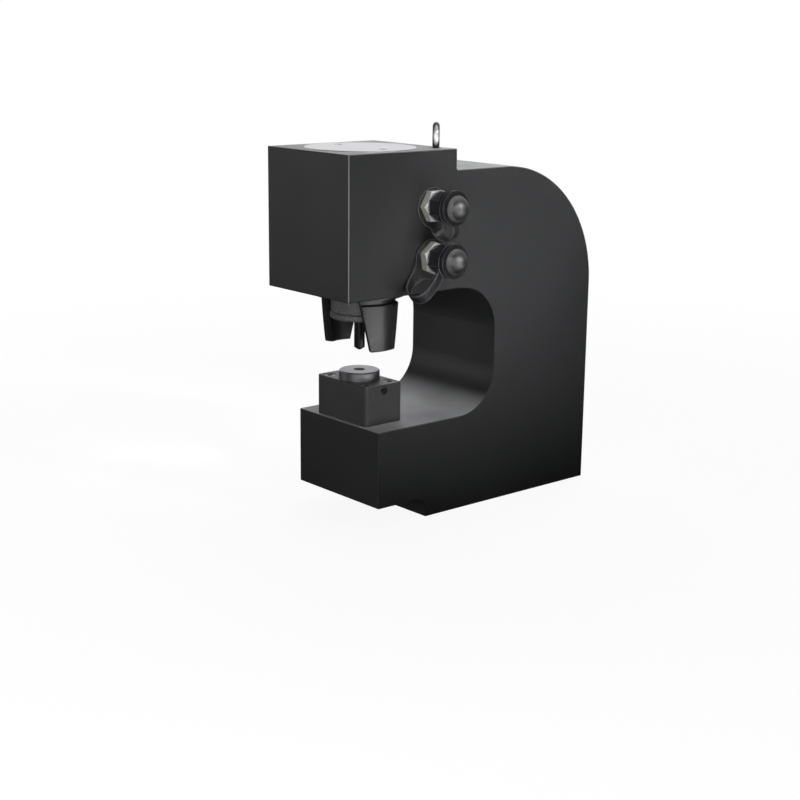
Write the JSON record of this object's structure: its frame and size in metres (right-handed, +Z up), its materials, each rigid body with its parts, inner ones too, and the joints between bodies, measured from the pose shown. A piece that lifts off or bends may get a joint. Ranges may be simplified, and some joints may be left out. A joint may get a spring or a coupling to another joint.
{
  "type": "hydraulic hole punch",
  "caption": "C-frame hydraulic punch on a stepped foot, with a double-acting ram, punch and die, legged stripper, capped hose couplings and a lifting eye.",
  "frame": {"origin": "centre of the foot's resting face, in the middle of the frame's width", "axes": "+X towards the side that carries the couplings, +Y from the open throat to the back, +Z up"},
  "size_m": [0.1775, 0.339, 0.4014],
  "materials": {
    "black_paint": "satin black paint",
    "cover_steel": "turned steel",
    "ground_steel": "ground steel",
    "black_oxide": "black oxide on steel",
    "rough_oxide": "rough dark scale",
    "tool_steel": "hardened steel",
    "zinc": "zinc plate",
    "bright_steel": "polished steel",
    "bronze": "turned bronze",
    "seal_rubber": "matt black",
    "seal_plastic": "blue seal compound",
    "guide_plastic": "brown bearing compound",
    "cap_plastic": "satin dark grey plastic",
    "tether_plastic": "satin black flexible plastic",
    "spring_steel": "spring wire"
  },
  "bodies": {
    "press_frame": {"frame": "black_paint", "cylinder_cover": "cover_steel", "cover_o_ring": "seal_rubber", "rod_gland": "bronze", "gland_o_ring": "seal_rubber", "rod_seal": "seal_plastic", "rod_wiper": "seal_rubber", "stripper": "black_oxide", "stripper_screws": "black_oxide", "die_holder": "black_oxide", "die_holder_screws": "black_oxide", "die": "tool_steel", "die_set_screw": "black_oxide", "lifting_eye": "bright_steel", "upper_adapter": "zinc", "upper_nipple": "black_oxide", "upper_poppet_spring": "spring_steel", "upper_tether": "tether_plastic", "lower_adapter": "zinc", "lower_nipple": "black_oxide", "lower_poppet_spring": "spring_steel", "lower_tether": "tether_plastic"},
    "ram": {"piston_rod": "ground_steel", "piston_seal": "seal_plastic", "piston_guide_ring": "guide_plastic", "punch_nut": "rough_oxide", "punch": "black_oxide"},
    "upper_cap": {"upper_dust_cap": "cap_plastic"},
    "upper_valve": {"upper_poppet": "ground_steel"},
    "lower_cap": {"lower_dust_cap": "cap_plastic"},
    "lower_valve": {"lower_poppet": "ground_steel"}
  },
  "joints": [
    {"name": "ram_stroke", "type": "slide", "parent": "press_frame", "child": "ram", "axis": [0, 0, -1], "range_m": [0, 0.028]},
    {"name": "upper_cap_pull", "type": "slide", "parent": "press_frame", "child": "upper_cap", "axis": [1, 0, 0], "range_m": [0, 0.022], "deforming": ["upper_tether"]},
    {"name": "lower_cap_pull", "type": "slide", "parent": "press_frame", "child": "lower_cap", "axis": [1, 0, 0], "range_m": [0, 0.022], "deforming": ["lower_tether"]},
    {"name": "upper_valve_press", "type": "slide", "parent": "press_frame", "child": "upper_valve", "axis": [-1, 0, 0], "range_m": [0, 0.004], "stiffness_N_per_m": 600, "springref_m": -0.004, "deforming": ["upper_poppet_spring"]},
    {"name": "lower_valve_press", "type": "slide", "parent": "press_frame", "child": "lower_valve", "axis": [-1, 0, 0], "range_m": [0, 0.004], "stiffness_N_per_m": 600, "springref_m": -0.004, "deforming": ["lower_poppet_spring"]}
  ]
}
